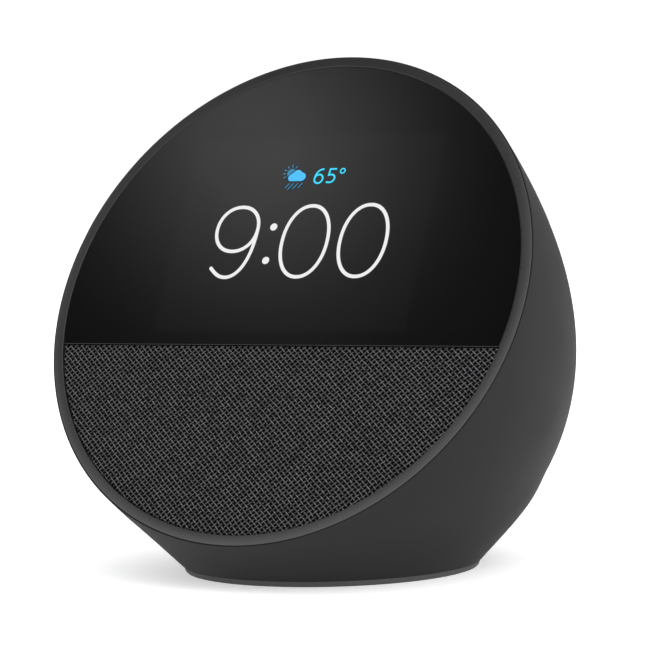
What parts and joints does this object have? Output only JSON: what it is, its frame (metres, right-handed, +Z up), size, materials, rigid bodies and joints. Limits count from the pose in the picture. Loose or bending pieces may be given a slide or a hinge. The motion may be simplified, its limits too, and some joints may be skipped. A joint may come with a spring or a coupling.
{
  "type": "smart display",
  "caption": "Compact tabletop smart display: a round tilted face with a glass screen over a cloth loudspeaker grille, on a rounded dome with a flat round foot.",
  "frame": {"origin": "centre of the round foot's flat underside, on the table", "axes": "+Z up, the face looks towards -Y and leans back, +X to the right of someone facing the screen; the object is symmetric about X = 0"},
  "size_m": [0.113, 0.1, 0.1092],
  "materials": {
    "housing_plastic": "moulded charcoal plastic with a soft matte, very fine texture",
    "bezel_plastic": "charcoal plastic, fine satin texture",
    "front_glass": "polished, dark-tinted cover glass",
    "cloth": "knitted charcoal speaker cloth",
    "button_plastic": "satin charcoal plastic",
    "black_plastic": "moulded black plastic",
    "foot_rubber": "matte dark grey rubber",
    "rubber": "soft black rubber",
    "black_foam": "closed-cell foam",
    "lcd": "liquid crystal panel, semi-gloss",
    "clear_plastic": "clear acrylic light guide",
    "led_white": "white light-emitting diodes on a strip",
    "steel": "stamped bright steel",
    "coated_steel": "dark coated steel",
    "screw_steel": "zinc-plated",
    "magnet": "nickel-dark coated magnet",
    "copper": "enamelled copper winding",
    "paper_cone": "pressed paper pulp",
    "spider_cloth": "resin-treated cloth",
    "circuit_board": "green solder mask over fibreglass",
    "chip": "black moulding compound",
    "connector": "cream nylon",
    "thermal_pad": "soft silicone pad",
    "aluminium": "bare stamped aluminium",
    "flex_film": "amber polyimide film",
    "brass_can": "gold-plated brass",
    "wire_red": "insulated stranded wire",
    "wire_black": "insulated stranded wire"
  },
  "bodies": {
    "housing": {"rear_shell": "housing_plastic", "front_bezel": "bezel_plastic", "display_glass": "front_glass", "glass_gasket": "black_foam", "lcd_panel": "lcd", "light_guide": "clear_plastic", "led_strip": "led_white", "backlight_tray": "steel", "front_frame": "black_plastic", "grille_panel": "black_plastic", "speaker_fabric": "cloth", "speaker_gasket": "black_foam", "speaker_basket": "coated_steel", "speaker_surround": "rubber", "speaker_spider": "spider_cloth", "speaker_top_plate": "steel", "speaker_magnet": "magnet", "speaker_yoke": "steel", "speaker_chamber": "black_plastic", "chamber_screws": "screw_steel", "main_board": "circuit_board", "board_chips": "chip", "board_connectors": "connector", "processor_shield": "steel", "thermal_pad": "thermal_pad", "heat_spreader": "aluminium", "board_screws": "screw_steel", "antennas": "circuit_board", "display_flex": "flex_film", "button_flex": "flex_film", "button_board": "circuit_board", "tact_switches": "steel", "microphones": "brass_can", "button_bracket": "black_plastic", "bracket_screws": "screw_steel", "jack_housing": "black_plastic", "jack_pin": "brass_can", "jack_board": "circuit_board", "jack_screws": "screw_steel", "power_wires": "wire_red", "speaker_wires": "wire_black", "rubber_foot": "foot_rubber", "base_screws": "screw_steel"},
    "cone": {"speaker_cone": "paper_cone", "dust_cap": "paper_cone", "voice_coil": "copper"},
    "volume_down": {"volume_down_button": "button_plastic", "volume_down_plunger": "connector"},
    "mute": {"mute_button": "button_plastic", "mute_plunger": "connector"},
    "volume_up": {"volume_up_button": "button_plastic", "volume_up_plunger": "connector"}
  },
  "joints": [
    {"name": "volume_down_press", "type": "slide", "parent": "housing", "child": "volume_down", "axis": [0.2371, -0.6212, -0.7469], "range_m": [0, 0.0006], "stiffness_N_per_m": 1200, "springref_m": -0.0002},
    {"name": "mute_press", "type": "slide", "parent": "housing", "child": "mute", "axis": [0, -0.6373, -0.7706], "range_m": [0, 0.0006], "stiffness_N_per_m": 1200, "springref_m": -0.0002},
    {"name": "volume_up_press", "type": "slide", "parent": "housing", "child": "volume_up", "axis": [-0.2371, -0.6212, -0.7469], "range_m": [0, 0.0006], "stiffness_N_per_m": 1200, "springref_m": -0.0002},
    {"name": "cone_travel", "type": "slide", "parent": "housing", "child": "cone", "axis": [0, -0.8829, 0.4695], "range_m": [-0.0012, 0.0012], "stiffness_N_per_m": 1500, "deforming": ["speaker_surround", "speaker_spider"]}
  ]
}
